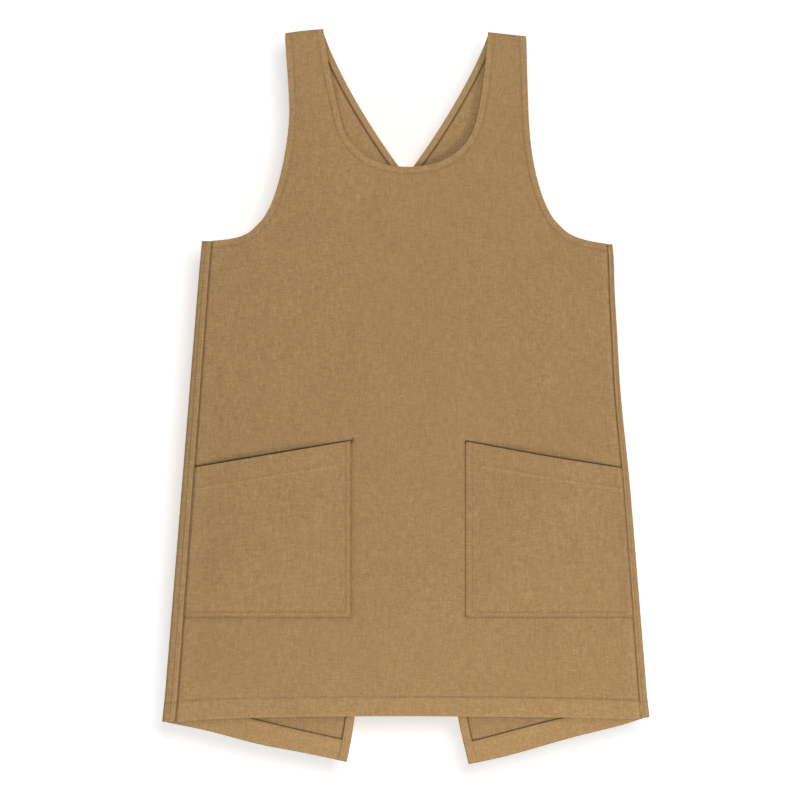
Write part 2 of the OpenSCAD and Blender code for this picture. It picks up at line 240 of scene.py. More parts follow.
# A strap, from the right shoulder to the left flap
LEAVE = np.array([-math.sin(math.radians(18)), -math.cos(math.radians(18))])
CROSS = np.array([-math.sin(CROSS_ANGLE), -math.cos(CROSS_ANGLE)])
CROSS_PT = np.array([0, -CROSS_DROP])
SEAM_RUN = 117.0
strap_end_in = CROSS_PT + SEAM_RUN * CROSS
strap_end_out = strap_end_in + STRAP_END_W * np.array([-CROSS[1], CROSS[0]])
strap_top_in, strap_top_out = np.array([NECK_HALF, -FOLD_R]), np.array(SHOULDER_OUT)
STRAP_NECK = joined(
    bez(strap_top_in, strap_top_in + 0.24 * CROSS_DROP * LEAVE,
        CROSS_PT - 0.38 * CROSS_DROP * CROSS, CROSS_PT, 40),
    [CROSS_PT, strap_end_in])
STRAP_ARM = bez(strap_top_out, strap_top_out + 0.37 * CROSS_DROP * LEAVE,
                strap_end_out - 0.8 * CROSS_DROP * CROSS, strap_end_out, 60)

# The right flap
AWAY = CROSS * [-1, 1]
flap_seam_in, flap_seam_out = strap_end_in * [-1, 1], strap_end_out * [-1, 1]
flap_side_top = np.array([axis_x(-UNDERARM_DROP), -UNDERARM_DROP])
flap_side_low = np.array([axis_x(-FRONT_LOW), -FRONT_LOW])
FLAP_ARM = bez(flap_seam_in, flap_seam_in + STRAP_END_W * AWAY,
               flap_side_top - [0.25 * UNDERARM_HALF, 6], flap_side_top, 40)
flap_straight = np.array([FLAP_IN, -STRAIGHT_DROP])
flap_low = np.array([FLAP_CORNER, -BACK_LEN])
FLARE_ARM = (BACK_LEN - STRAIGHT_DROP) / 3
FLAP_CENTRE = joined(
    bez(flap_seam_out, flap_seam_out + 12 * AWAY, flap_straight + [0, 40], flap_straight),
    bez(flap_straight, flap_straight - [0, FLARE_ARM],
        flap_low + FLARE_ARM * np.array([-math.sin(FLARE), math.cos(FLARE)]), flap_low, 60))
FLAP_HEM = np.array([flap_low, flap_side_low])


def pocket_corners(side):
    x_in = POCKET_IN + side * LAY_SHIFT
    mouth_z = -POCKET_TOP - (seam_x(side, -POCKET_TOP) - x_in) * math.tan(POCKET_SLOPE)
    x_out = seam_x(side, mouth_z)
    mouth_z = -POCKET_TOP - (x_out - x_in) * math.tan(POCKET_SLOPE)
    return np.array([[x_in, -POCKET_TOP], [x_out, mouth_z],
                     [seam_x(side, -POCKET_BOTTOM), -POCKET_BOTTOM], [x_in, -POCKET_BOTTOM]])


# -------- distances and smooth steps

def smooth(a, b, v):
    """0 up to a and 1 from b on."""
    t = np.clip((v - a) / (b - a), 0, 1)
    return t * t * (3 - 2 * t)


def ridge(v, centre, half):
    """1 at centre, fading over half on both sides."""
    return np.exp(-((v - centre) / half) ** 2)


def rumple(pts, size, seed):
    """Smooth noise from about -1 to 1 over the cloth, with hollows about size apart."""
    return np.array([noise.noise(Vector((x / size, z / size, seed))) for x, z in pts])


class Nearest:
    """A set of points on the flat cloth that can say how far other points are from it."""

    def __init__(self, points):
        self.tree = kdtree.KDTree(len(points))
        for i, (x, z) in enumerate(points):
            self.tree.insert((x, z, 0), i)
        self.tree.balance()

    def distance(self, pts):
        return np.array([self.tree.find((x, z, 0))[2] for x, z in pts])


def near(*lines):
    """Says how far points are from lines, by points half a millimetre apart along them."""
    return Nearest(np.vstack([resampled(line, 0.5) for line in lines]))


ARMS = {side: arm_line(side) * [side, 1] for side in (LEFT, RIGHT)}
SEAMS = {side: seam_line(side) * [side, 1] for side in (LEFT, RIGHT)}
EDGES = near(NECK, ARMS[LEFT], ARMS[RIGHT])
HEM_EDGE = near(HEM)
SIDE_SEAMS = near(SEAMS[LEFT], SEAMS[RIGHT])
POCKETS = {side: pocket_corners(side) * [side, 1] for side in (LEFT, RIGHT)}
POCKET_SEWN = {side: near(POCKETS[side][1:], POCKETS[side][[3, 0]]) for side in (LEFT, RIGHT)}
POCKET_MOUTH = {side: near(POCKETS[side][:2]) for side in (LEFT, RIGHT)}


def inside(pts, outline):
    """Which points lie inside a closed outline."""
    x, z = pts[:, 0][:, None], pts[:, 1][:, None]
    x0, z0 = outline[:, 0], outline[:, 1]
    x1, z1 = np.roll(x0, -1), np.roll(z0, -1)
    rise = np.where(z1 == z0, 1e-9, z1 - z0)
    crosses = ((z0 > z) != (z1 > z)) & (x < (x1 - x0) * (z - z0) / rise + x0)
    return crosses.sum(axis=1) % 2 == 1


# -------- how deep each cloth lies

EDGE_LIFT = 0.55      # the turned edge lifts the cloth over it
BACK_LIFT = 0.45 * EDGE_LIFT
GROOVE = 0.55         # and its stitching pulls the cloth in
POCKET_BULGE = 4.2
POCKET_SINK, MOUTH_SINK = 0.7, 1.0    # how far a pocket and its mouth press the front cloth back
SEAM_LIFT = 1.1       # the front cloth rises to its side seams
WRAP_HEM = 23.0       # height of the back hem's stitching where it comes round to the front


def front_depth(pts):
    """Depth of the middle of the front cloth."""
    edge, hem, seam = EDGES.distance(pts), HEM_EDGE.distance(pts), SIDE_SEAMS.distance(pts)
    below_fold = smooth(-8, -70, pts[:, 1])
    y = FRONT_Y + below_fold * (0.9 * rumple(pts, 190, 1.3) + 0.35 * rumple(pts, 60, 4.1))
    y -= below_fold * EDGE_LIFT * (1 - smooth(EDGE_HEM - 0.5, EDGE_HEM + 0.7, edge))
    y += below_fold * GROOVE * ridge(edge, EDGE_HEM, 0.9)
    y += 0.16 * rumple(pts, 9, 7.7) * ridge(edge, EDGE_HEM - 1, 5) * below_fold
    y -= EDGE_LIFT * (1 - smooth(FRONT_HEM - 0.5, FRONT_HEM + 0.8, hem))
    y += GROOVE * ridge(hem, FRONT_HEM, 1.0)
    y += 0.30 * rumple(pts, 12, 9.2) * ridge(hem, FRONT_HEM - 2, 9)
    y += 0.9 * rumple(pts, 85, 2.5) * (1 - smooth(4, 60, hem))
    y -= SEAM_LIFT * smooth(0, 4, seam) * np.exp(-(np.maximum(seam - 4, 0) / 9) ** 2)
    y += 1.3 * ridge(seam, 0, 1.1)
    for side in (LEFT, RIGHT):
        sewn, mouth = POCKET_SEWN[side].distance(pts), POCKET_MOUTH[side].distance(pts)
        within = inside(pts, POCKETS[side])
        y += np.where(within, POCKET_SINK * smooth(0, 8, sewn), 0) \
            + MOUTH_SINK * ridge(mouth, 0, 3.0)
        y += np.where(within, 0, 0.35 * ridge(sewn, 0, 1.2))
    return y


def pocket_depth(side, pts):
    """Depth of the middle of a pocket: flat where it is sewn, full elsewhere."""
    sewn, mouth = POCKET_SEWN[side].distance(pts), POCKET_MOUTH[side].distance(pts)
    y = front_depth(pts) - np.where(inside(pts, POCKETS[side]), POCKET_SINK * smooth(0, 8, sewn), 0)
    y -= MOUTH_SINK * ridge(mouth, 0, 3.0) + PLY + 0.25
    full = smooth(6, 70, sewn)
    y -= POCKET_BULGE * full * (0.8 + 0.2 * rumple(pts, 70, 11.0 + side))
    y -= EDGE_LIFT * (1 - smooth(5.2, 6.4, sewn)) * smooth(0, 2, mouth)
    near_row, far_row = SEWN_ROWS
    y += GROOVE * (ridge(sewn, near_row, 0.6) + ridge(sewn, far_row, 0.8)) * smooth(0, 3, mouth)
    y -= EDGE_LIFT * 0.8 * (1 - smooth(MOUTH_HEM - 0.5, MOUTH_HEM + 0.8, mouth))
    y += 0.7 * GROOVE * ridge(mouth, MOUTH_HEM, 0.9)
    y += 0.14 * rumple(pts, 10, 5.5) * ridge(mouth, MOUTH_HEM - 2, 7)
    return y


FLAP_EDGES = {side: [(near(line * [side, 1]), width) for line, width in
                     ((FLAP_ARM, EDGE_HEM), (FLAP_CENTRE, CENTRE_HEM), (FLAP_HEM, BACK_HEM))]
              for side in (LEFT, RIGHT)}
STRAP_EDGES = {side: near(STRAP_NECK * [side, 1], STRAP_ARM * [side, 1]) for side in (LEFT, RIGHT)}


def flap_depth(side, pts):
    """Depth of the middle of a flap, which hangs from the side fold."""
    free = smooth(4, 60, axis_x(pts[:, 1]) - abs(pts[:, 0]))
    wave = 0.9 * rumple(pts, 150, 20.0 + side) + 0.35 * rumple(pts, 55, 30.0 + side)
    y = FLAP_Y + (0.6 + wave) * free
    for line, width in FLAP_EDGES[side]:
        d = line.distance(pts)
        y += BACK_LIFT * (1 - smooth(width - 0.5, width + 0.7, d)) * free
        y -= (GROOVE * ridge(d, width - ROW_IN, 0.9)
              - 0.2 * rumple(pts, 12, 61.0) * ridge(d, width, 7)) * free
    return y


# -------- meshes

# Where the garment lies a little off its pattern: x, z, how far that reaches, and the shift
LIE = (
    (-132, 4, 70, 60, -1.0, 4.6), (-158, -100, 16, 50, 1.5, 0.0), (132, -115, 60, 40, 0.6, 0),
    (274, -285, 40, 40, 2.8, -2.5), (287, -470, 60, 75, -2.6, 0), (-266, -272, 50, 30, 0.6, 2.0),
    (-312, -897, 50, 24, -1.2, -2.6), (-205, -925, 70, 22, 0, -3.6), (316, -897, 26, 24, 0.8, 3.2),
    (185, -548, 115, 42, 0, -2.1), (82, -950, 60, 40, 2.8, -1.6), (140, -935, 70, 26, 0, -3.4),
    (-78, -940, 40, 60, 1.4, 0),
)


def settled(verts):
    """The points where the cloth lies, a few millimetres off its pattern."""
    verts = np.array(verts, float)
    x, z = verts[:, 0].copy(), verts[:, 2].copy()
    for cx, cz, rx, rz, dx, dz in LIE:
        w = np.exp(-((x - cx) / rx) ** 2 - ((z - cz) / rz) ** 2)
        verts[:, 0] += w * dx
        verts[:, 2] += w * dz
    return verts


ALL_PIECES = []


def placed(name, data):
    obj = bpy.data.objects.new(name, data)
    bpy.context.scene.collection.objects.link(obj)
    return obj


def finished(name, skin, wear_and_painted_light, material, nodes, body=None):
    """Makes the object from a skin's points, faces and flat faces, in metres, for its CAD nodes."""
    verts, faces, flat_faces = skin
    mesh = bpy.data.meshes.new(name)
    mesh.from_pydata((settled(verts) * MM).tolist(), [], faces)
    flags = np.ones(len(mesh.polygons), bool)
    flags[flat_faces] = False
    mesh.polygons.foreach_set("use_smooth", flags)
    # per-point colour factor: painted shade and painted highlight, with some wear at turned edges
    tones = mesh.attributes.new("wear_and_painted_light", "FLOAT", "POINT")
    tones.data.foreach_set("value", np.full(len(verts), wear_and_painted_light, np.float32))
    bm = bmesh.new()
    bm.from_mesh(mesh)
    bmesh.ops.recalc_face_normals(bm, faces=bm.faces)
    bm.to_mesh(mesh)
    bm.free()
    mesh.materials.append(material)
    obj = placed(name, mesh)
    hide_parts(*nodes)
    ALL_PIECES.append(obj)
    if body:
        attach(obj, body)
    return obj


ROW_RISE = 0.866      # height of an even-sided triangle
CLEAR = 0.35, 0.6     # guide points keep so many mm off the outline, the rest so many steps


def fill(outline, guides, step):
    """Points and triangles inside a closed outline, closer together along the guide lines."""
    guide = np.vstack(guides)
    guide = guide[inside(guide, outline)]
    firm = np.vstack([outline, guide[Nearest(outline).distance(guide) > CLEAR[0]]])
    lo, hi = outline.min(axis=0), outline.max(axis=0)
    rows = np.arange(lo[1], hi[1], step * ROW_RISE)
    grid = np.array([[x + (k % 2) * step / 2, z] for k, z in enumerate(rows)
                     for x in np.arange(lo[0], hi[0], step)])
    grid = grid[inside(grid, outline)]
    points = np.vstack([firm, grid[Nearest(firm).distance(grid) > CLEAR[1] * step]])
    out = delaunay_2d_cdt([Vector(p) for p in points], [], [list(range(len(outline)))], 1, 1e-5)
    return np.array([tuple(v) for v in out[0]]), [list(f) for f in out[2]]


def merged(parts):
    """Joins sheets that share edge points: [(verts, faces), ...] to one (verts, faces)."""
    verts, faces, start = [], [], 0
    for v, f in parts:
        verts.append(np.asarray(v, float))
        faces += [[i + start for i in face] for face in f]
        start += len(v)
    bm = bmesh.new()
    for v in np.vstack(verts):
        bm.verts.new(v)
    bm.verts.ensure_lookup_table()
    for face in faces:
        bm.faces.new([bm.verts[i] for i in face])
    bmesh.ops.remove_doubles(bm, verts=bm.verts, dist=0.02)
    bmesh.ops.recalc_face_normals(bm, faces=bm.faces)
    bm.verts.index_update()
    v = np.array([tuple(p.co) for p in bm.verts])
    f = [[p.index for p in face.verts] for face in bm.faces]
    bm.free()
    return v, f


def grid_sheet(rows):
    """A sheet through rows of 3-D points, all of the same length."""
    rows = np.asarray(rows, float)
    m, n = rows.shape[:2]
    faces = [[i * n + k, i * n + k + 1, (i + 1) * n + k + 1, (i + 1) * n + k]
             for i in range(m - 1) for k in range(n - 1)]
    return rows.reshape(-1, 3), faces


def vertex_normals(verts, faces):
    total = np.zeros_like(verts)
    for f in faces:
        p = verts[f]
        n = np.cross(p[1] - p[0], p[-1] - p[0])
        for i in f:
            total[i] += n
    return total / np.maximum(np.linalg.norm(total, axis=1), 1e-9)[:, None]


def thick(verts, faces, t=PLY):
    """A closed skin of thickness t round a sheet. The rim's faces come last."""
    n = len(verts)
    normals = vertex_normals(verts, faces)
    skin = np.vstack([verts + normals * t / 2, verts - normals * t / 2])
    edges = {}
    for f in faces:
        for a, b in zip(f, f[1:] + f[:1]):
            edges[(a, b)] = edges.get((a, b), 0) + 1
    rim = [[b, a, a + n, b + n] for a, b in edges if (b, a) not in edges]
    body = faces + [[i + n for i in reversed(f)] for f in faces]
    return skin, body + rim, list(range(len(body), len(body) + len(rim)))


def at_depth(pts, y):
    """[x, z] points to [x, y, z] ones."""
    return np.stack([pts[:, 0], y, pts[:, 1]], axis=1)


def lifted(pts, depth):
    return at_depth(pts, depth(pts))


TURN = (0.0, 0.0), (-0.25, 0.28), (-0.25, 0.75), (0.55, 1.08)   # in from the edge, and back


def turned_over(line, depth, inward, inner=1):
    """The rim of a cloth edge that is folded over to the inside, from the edge on."""
    normals = left_normals(line) * inward
    y = depth(line)
    return grid_sheet([at_depth(line + d * normals, y + inner * back) for d, back in TURN])


def band(line, d0, d1, depth, offset, t=TURNED):
    """A closed, flat-folded strip of cloth beside a line, from d0 to d1 to its left."""
    line = resampled(line, EDGE_STEP)
    normals = left_normals(line)
    span = d1 - d0
    s = math.copysign(1, span)
    middle = list(np.linspace(d0 + 1.1 * s, d1 - 1.1 * s, max(2, int(abs(span) / 4))))
    ds = [d0, d0 + 0.18 * s, d0 + 0.5 * s] + middle + [d1 - 0.5 * s, d1 - 0.18 * s, d1]
    hs = [0.0, 0.7, 0.97] + [1.0] * len(middle) + [0.97, 0.7, 0.0]
    profile = [(d, -h) for d, h in zip(ds, hs)] + list(zip(ds, hs))[-2:0:-1]
    rings = np.array([lifted(line + d * normals, lambda p: depth(p) + offset + h * t / 2)
                      for d, h in profile])
    m, n = rings.shape[:2]
    faces = [[i * n + k, i * n + k + 1, (i + 1) % m * n + k + 1, (i + 1) % m * n + k]
             for i in range(m) for k in range(n - 1)]
    caps = [[i * n for i in range(m)], [i * n + n - 1 for i in range(m)]]
    return rings.reshape(-1, 3), faces + caps, [len(faces), len(faces) + 1]


STITCH_PITCH, STITCH_LENGTH, STITCH_W = 2.9, 2.2, 0.5
# Rings of one stitch: how far along it, their share of its width, and their height
STITCH_BOW = ((-1, 0.35, -0.16), (-0.62, 0.9, 0.06), (0, 1.0, 0.13), (0.62, 0.9, 0.06),
              (1, 0.35, -0.16))


def stitches(lines, face, rng):
    """Thread along lines of 3-D points: one short bowed stitch after another, on the side that
    face points to along y."""
    verts, faces = [], []
    for line in lines:
        line = resampled(line, 0.5)
        run = run_along(line)
        count = int(run[-1] / STITCH_PITCH)
        for k in range(count):
            at = (k + 0.5) * run[-1] / count
            half = STITCH_LENGTH / 2 * rng.uniform(0.9, 1.08)
            first, middle, last = interpolated(np.array([at - half, at, at + half]), run, line)
            along = (last - first) / (2 * half)
            out = np.array([0, face, 0.0])
            across = np.cross(along, out)
            across /= np.linalg.norm(across)
            start = len(verts)
            for u, r, up in STITCH_BOW:
                c = middle + along * u * half + out * up
                for a in range(6):
                    w = math.pi * a / 3
                    verts.append(c + r * STITCH_W / 2 * (math.cos(w) * across
                                                         + 0.75 * math.sin(w) * out))
            for ring in range(start, start + 24, 6):
                for a in range(6):
                    b = (a + 1) % 6
                    faces.append([ring + a, ring + b, ring + 6 + b, ring + 6 + a])
            faces.append([start + a for a in range(6)])
            faces.append([start + 24 + a for a in range(6)])
    return np.array(verts), faces


# -------- materials

def nodes_of(name):
    material = bpy.data.materials.new(name)
    material.use_nodes = True
    tree = material.node_tree
    return material, tree, tree.nodes["Principled BSDF"]


def set_inputs(node, values):
    for name, value in values.items():
        node.inputs[name].default_value = value


def math_node(tree, operation, a, b):
    n = tree.nodes.new("ShaderNodeMath")
    n.operation = operation
    for socket, value in zip(n.inputs, (a, b)):
        if isinstance(value, (int, float)):
            socket.default_value = value
        else:
            tree.links.new(value, socket)
    return n.outputs[0]


def noise_at(tree, coords, scale, detail, rough):
    """Noise on the object's own coordinates, stretched: scale is in cycles per millimetre."""
    mapping = tree.nodes.new("ShaderNodeMapping")
    set_inputs(mapping, {"Scale": [s / MM for s in scale]})
    n = tree.nodes.new("ShaderNodeTexNoise")
    set_inputs(n, {"Scale": 1.0, "Detail": detail, "Roughness": rough})
    tree.links.new(coords, mapping.inputs["Vector"])
    tree.links.new(mapping.outputs["Vector"], n.inputs["Vector"])
    return n.outputs["Fac"]


def ramp(tree, value, lo, hi, to_lo, to_hi):
    n = tree.nodes.new("ShaderNodeMapRange")
    set_inputs(n, {"From Min": lo, "From Max": hi, "To Min": to_lo, "To Max": to_hi})
    tree.links.new(value, n.inputs["Value"])
    return n.outputs["Result"]


def add_bump(tree, shader, height, strength, distance):
    bump = tree.nodes.new("ShaderNodeBump")
    set_inputs(bump, {"Strength": strength, "Distance": distance})
    tree.links.new(height, bump.inputs["Height"])
    tree.links.new(bump.outputs["Normal"], shader.inputs["Normal"])


THREAD_PITCH = 0.8
UNEVEN, SLUB = 0.10, 0.16      # how much threads and slubs vary the colour


def linen(name, base, slub=1.0):
    """Plain-weave linen: crosswise and lengthwise threads of uneven thickness, with slubs."""
    material, tree, shader = nodes_of(name)
    coords = tree.nodes.new("ShaderNodeTexCoord").outputs["Object"]
    weft = noise_at(tree, coords, (0.09, 0.05, 0.6), 2.0, 0.6)
    warp = noise_at(tree, coords, (0.6, 0.05, 0.07), 2.0, 0.6)
    thick_weft = noise_at(tree, coords, (0.05, 0.05, 1.1), 1.0, 0.4)
    cloud = noise_at(tree, coords, (0.009, 0.009, 0.009), 4.0, 0.6)
    fleck = noise_at(tree, coords, (0.55, 0.55, 0.55), 1.0, 0.6)
    # each point's painted shade and painted highlight, with some wear, multiplies the linen's colour
    wear_and_painted_light = tree.nodes.new("ShaderNodeAttribute")
    wear_and_painted_light.attribute_name = "wear_and_painted_light"
    thin, full = 1 - UNEVEN * slub, 1 + UNEVEN * slub
    shade = ramp(tree, weft, 0.3, 0.7, thin, full)
    for factor in (ramp(tree, warp, 0.3, 0.7, thin, full), ramp(tree, cloud, 0.3, 0.7, 0.98, 1.02),
                   ramp(tree, thick_weft, 0.70, 0.84, 1.0, 1.0 + SLUB * slub),
                   ramp(tree, fleck, 0.3, 0.7, 0.87, 1.13), wear_and_painted_light.outputs["Fac"]):
        shade = math_node(tree, "MULTIPLY", shade, factor)
    mix = tree.nodes.new("ShaderNodeMix")
    mix.data_type = "RGBA"
    mix.blend_type = "MULTIPLY"
    set_inputs(mix, {"Factor": 1.0, "A": (*base, 1)})
    warm = tree.nodes.new("ShaderNodeCombineColor")
    for socket, power in (("Red", 1.0), ("Green", 1.12), ("Blue", 1.35)):
        tree.links.new(math_node(tree, "POWER", shade, power), warm.inputs[socket])
    tree.links.new(warm.outputs["Color"], mix.inputs["B"])
    tree.links.new(mix.outputs["Result"], shader.inputs["Base Color"])
    # the weave itself: crossing threads that pass over and under
    waves = []
    for direction in ("X", "Z"):
        w = tree.nodes.new("ShaderNodeTexWave")
        w.bands_direction = direction
        set_inputs(w, {"Scale": 1 / THREAD_PITCH / MM / math.tau * math.pi / 10,
                       "Distortion": 0.6, "Detail": 0.0})
        tree.links.new(coords, w.inputs["Vector"])
        waves.append(w.outputs["Fac"])
    height = math_node(tree, "MULTIPLY", math_node(tree, "ADD", *waves), 0.35)
    for threads, rise in ((weft, 0.9), (warp, 0.8)):
        height = math_node(tree, "ADD", height, math_node(tree, "MULTIPLY", threads, rise))
    add_bump(tree, shader, height, 0.55, 0.00022)
    set_inputs(shader, {"Roughness": 0.88, "Specular IOR Level": 0.25, "Sheen Weight": 0.22,
                        "Sheen Roughness": 0.45, "Sheen Tint": (0.86, 0.74, 0.56, 1)})
    return material


def sewing_thread(name, base):
    """Spun thread: fine twisted strands along each stitch."""
    material, tree, shader = nodes_of(name)
    coords = tree.nodes.new("ShaderNodeTexCoord").outputs["Object"]
    twist = noise_at(tree, coords, (2.6, 2.6, 2.6), 2.0, 0.6)
    mix = tree.nodes.new("ShaderNodeMix")
    mix.data_type = "RGBA"
    set_inputs(mix, {"A": (*(0.72 * c for c in base), 1),
                     "B": (*(min(1, 1.2 * c) for c in base), 1)})
    tree.links.new(twist, mix.inputs["Factor"])
    tree.links.new(mix.outputs["Result"], shader.inputs["Base Color"])
    add_bump(tree, shader, twist, 0.4, 0.0001)
    set_inputs(shader, {"Roughness": 0.7, "Sheen Weight": 0.15})
    return material


OCHRE = (0.220, 0.133, 0.055)
FACE = linen("linen_face", OCHRE)
WRONG = linen("linen_wrong_side", tuple(1.03 * c for c in OCHRE))
FOLDED = linen("linen_hem", tuple(1.12 * c for c in OCHRE), 0.8)
THREAD = sewing_thread("ochre_thread", tuple(1.35 * c for c in OCHRE))


# -------- making pieces

SEEDS = {"neck": 1, "front_hem": 2, "armhole": 10, "flap": 30, "side": 50, "pocket": 60, "strap": 70}


def make_band(node, body, line, d0, d1, depth, offset, **more):
    return finished(f"{node}_linen", band(line, d0, d1, depth, offset, **more), 1.0, FOLDED,
                    [node], body)


def make_stitches(part, body, front_rows, seed, back_rows=()):
    """Rows are lines of 3-D points, sewn on the faces that point to -Y and to +Y."""
    rng = random.Random(seed)
    verts, faces = stitches(front_rows, -1, rng)
    if back_rows:
        more, more_faces = stitches(back_rows, 1, rng)
        faces += [[i + len(verts) for i in f] for f in more_faces]
        verts = np.vstack([verts, more])
    return finished(f"{part}_thread", (verts, faces, []), 1.0, THREAD, [f"{part}_stitching"], body)


def on_face(line, depth, face, lift=PLY / 2):
    """A line on the flat cloth, laid on its surface on the side that face points to."""
    line = resampled(line, EDGE_STEP)
    return at_depth(line, depth(line) + face * lift)


# -------- front

STEP = 6.0            # distance between points inside a cloth
FOLD_ROWS = 13

# Distances from edges and seams at which a cloth has rows of extra points
ROW_OFFSETS = (0.7, 1.6, 3.2, 5.2, 6.6, 7.4, 8.0, 8.6, 9.4, 11.0)
HEM_OFFSETS = (0.8, 2.0, 5.0, 10, 15, 20, 23.2, 24.2, 25.0, 25.8, 26.8, 29.0)
SEAM_OFFSETS = (0.5, 1.1, 1.9, 3.2)
UNDER_MOUTH = (-3, -1.5, -0.6, 0, 0.6, 1.5, 3, 5)
UNDER_SEWN = (-1.2, 0, 1.2, 3, 6)
CENTRE_OFFSETS = (0.8, 3, 6, 8.5, 9.3, 9.9, 10.6, 11.3, 12.0, 13.5)
BACK_HEM_OFFSETS = (0.8, 3, 9, 18, 24.4, 25.3, 26, 26.8, 27.6, 29)
MOUTH_OFFSETS = (0.8, 2, 6, 12, 18, 25.4, 26.3, 27, 27.7, 28.6, 31)
SEWN_OFFSETS = (0.6, 1.1, 1.6, 2.2, 4, 5.2, 6.2, 7, 7.8, 9)
POCKET_SEAM_OFFSETS = (0.6, 1.6, 3, 6)


def guides_beside(line, sign, offsets, step):
    """Rows of points beside a line, to its left where sign is 1."""
    return [beside(resampled(line, step), sign * d) for d in offsets]


def edge_wear_and_painted_light(edge, hem_w, groove_shade=0.22, wear_and_highlight=0.06):
    """Paler where an edge is turned, as wear and as painted highlight, and painted shade in the
    stitched groove.
    """
    return 1 + wear_and_highlight * (1 - smooth(hem_w - 1, hem_w, edge)) + 0.05 * ridge(edge, 0, 1.0) \
        - groove_shade * ridge(edge, hem_w, 1.0)


def crevice_shade(inner, edge, hem_w):
    """Painted shade along a turned edge that stands off the cloth, where inner is 1."""
    return 1 - 0.6 * inner * ridge(edge, hem_w + 0.6, 0.9)


def front_wear_and_painted_light(verts):
    # painted shade and painted highlight on the front cloth, with some wear at its turned edges
    pts = verts[:, [0, 2]]
    # painted shade in the front hem's stitched groove, deeper towards the right
    hem_groove_shade = 0.12 + 0.16 * smooth(-120, 150, pts[:, 0])
    wear_and_painted_light = edge_wear_and_painted_light(EDGES.distance(pts), EDGE_HEM) \
        * edge_wear_and_painted_light(HEM_EDGE.distance(pts), FRONT_HEM, hem_groove_shade)
    seam = SIDE_SEAMS.distance(pts)
    # painted shade in each side seam's groove, and a painted highlight on the cloth beside it
    wear_and_painted_light *= 1 - 0.30 * ridge(seam, 0, 1.1) + 0.06 * ridge(seam, 5, 4)
    for side in (LEFT, RIGHT):
        # painted shadow along each pocket's mouth, wider at the left pocket's outer end, and painted
        # shade along its sewn edges
        mouth = POCKET_MOUTH[side].distance(pts)
        reach = 2.8 + (1.3 * smooth(150, 260, -pts[:, 0]) if side == LEFT else 0)
        wear_and_painted_light *= 1 - 0.80 * (1 - smooth(1.0, reach, mouth))
        wear_and_painted_light *= 1 - 0.45 * ridge(POCKET_SEWN[side].distance(pts), 0, 1.1)
    return wear_and_painted_light


def shoulder_top(side):
    """The front cloth's top row, from the neck outwards."""
    return resampled([[NECK_HALF, -FOLD_R], SHOULDER_OUT], EDGE_STEP) * [side, 1]


def roll(side):
    """The cloth's rows over a shoulder fold, from the front cloth's top row to the back."""
    top = shoulder_top(side)
    front = -front_depth(top)
    rows = []
    for a in np.linspace(0, math.pi, FOLD_ROWS):
        radius = front + (FOLD_MID - front) * a / math.pi
        rows.append(np.stack([top[:, 0], -radius * math.cos(a),
                              top[:, 1] + radius * math.sin(a)], axis=1))
    return rows


def make_front():
    neck, hem = resampled(NECK, EDGE_STEP), resampled(HEM, PANEL_STEP)
    arms = {side: resampled(ARMS[side], EDGE_STEP) for side in (LEFT, RIGHT)}
    seams = {side: resampled(SEAMS[side], SEAM_STEP) for side in (LEFT, RIGHT)}
    outline = joined(neck, shoulder_top(RIGHT), arms[RIGHT], seams[RIGHT], hem[::-1],
                     seams[LEFT][::-1], arms[LEFT][::-1], shoulder_top(LEFT)[::-1])[:-1]
    guides = guides_beside(NECK, -1, ROW_OFFSETS, EDGE_STEP)
    for side, corners in POCKETS.items():
        guides += guides_beside(ARMS[side], -side, ROW_OFFSETS, EDGE_STEP)
        guides += guides_beside(SEAMS[side], -side, SEAM_OFFSETS, SEAM_STEP)
        guides += guides_beside(corners[:2], 1, UNDER_MOUTH, PANEL_STEP)
        guides += guides_beside(corners[[3, 0]], 1, UNDER_SEWN, SEAM_STEP)
        guides += guides_beside(corners[[2, 3]], 1, UNDER_SEWN, SEAM_STEP)
    guides += guides_beside(HEM, 1, HEM_OFFSETS, 3.5)
    flat, triangles = fill(outline, guides, STEP)
    parts = [(lifted(flat, front_depth), triangles)]
    parts += [turned_over(line, front_depth, inward) for line, inward in
              ((neck, -1), (hem, 1), (arms[RIGHT], -1), (arms[LEFT], 1))]
    parts += [grid_sheet(roll(side)) for side in (LEFT, RIGHT)]
    skin = thick(*merged(parts))
    return finished("front_panel_linen", skin, front_wear_and_painted_light(skin[0]), FACE, ["front_panel"], "front")


FACING_Y = 1.08       # how far a turned edge lies behind the cloth it belongs to

front = make_front()
neck_facing = make_band("neck_facing", "front", trimmed(NECK, 6, 6), -EDGE_GAP, -EDGE_HEM,
                        front_depth, FACING_Y)
arm_facings, arm_stitches, seam_bands, side_stitches = {}, {}, {}, {}
for word, side in SIDES.items():
    arm_facings[side] = make_band(f"{word}_armhole_facing", "front", trimmed(ARMS[side], 6, 1),
                                  -side * EDGE_GAP, -side * EDGE_HEM, front_depth, FACING_Y)
    row = beside(trimmed(ARMS[side], 4, 1), -side * EDGE_HEM)
    arm_stitches[side] = make_stitches(f"{word}_armhole", "front", [on_face(row, front_depth, -1)],
                                       SEEDS["armhole"] + side)
front_hem = make_band("front_hem", "front", HEM, EDGE_GAP, FRONT_HEM, front_depth, FACING_Y)
row = beside(trimmed(NECK, 4, 4), -EDGE_HEM)
neck_stitches = make_stitches("neck", "front", [on_face(row, front_depth, -1)], SEEDS["neck"])
row = beside(resampled(HEM, 1.0), FRONT_HEM)
hem_stitches = make_stitches("front_hem", "front", [on_face(row, front_depth, -1)],
                             SEEDS["front_hem"])


# -------- sides and flaps

FELL_ROW = {LEFT: 7.5, RIGHT: 4.0}    # second row of stitching beside a side seam


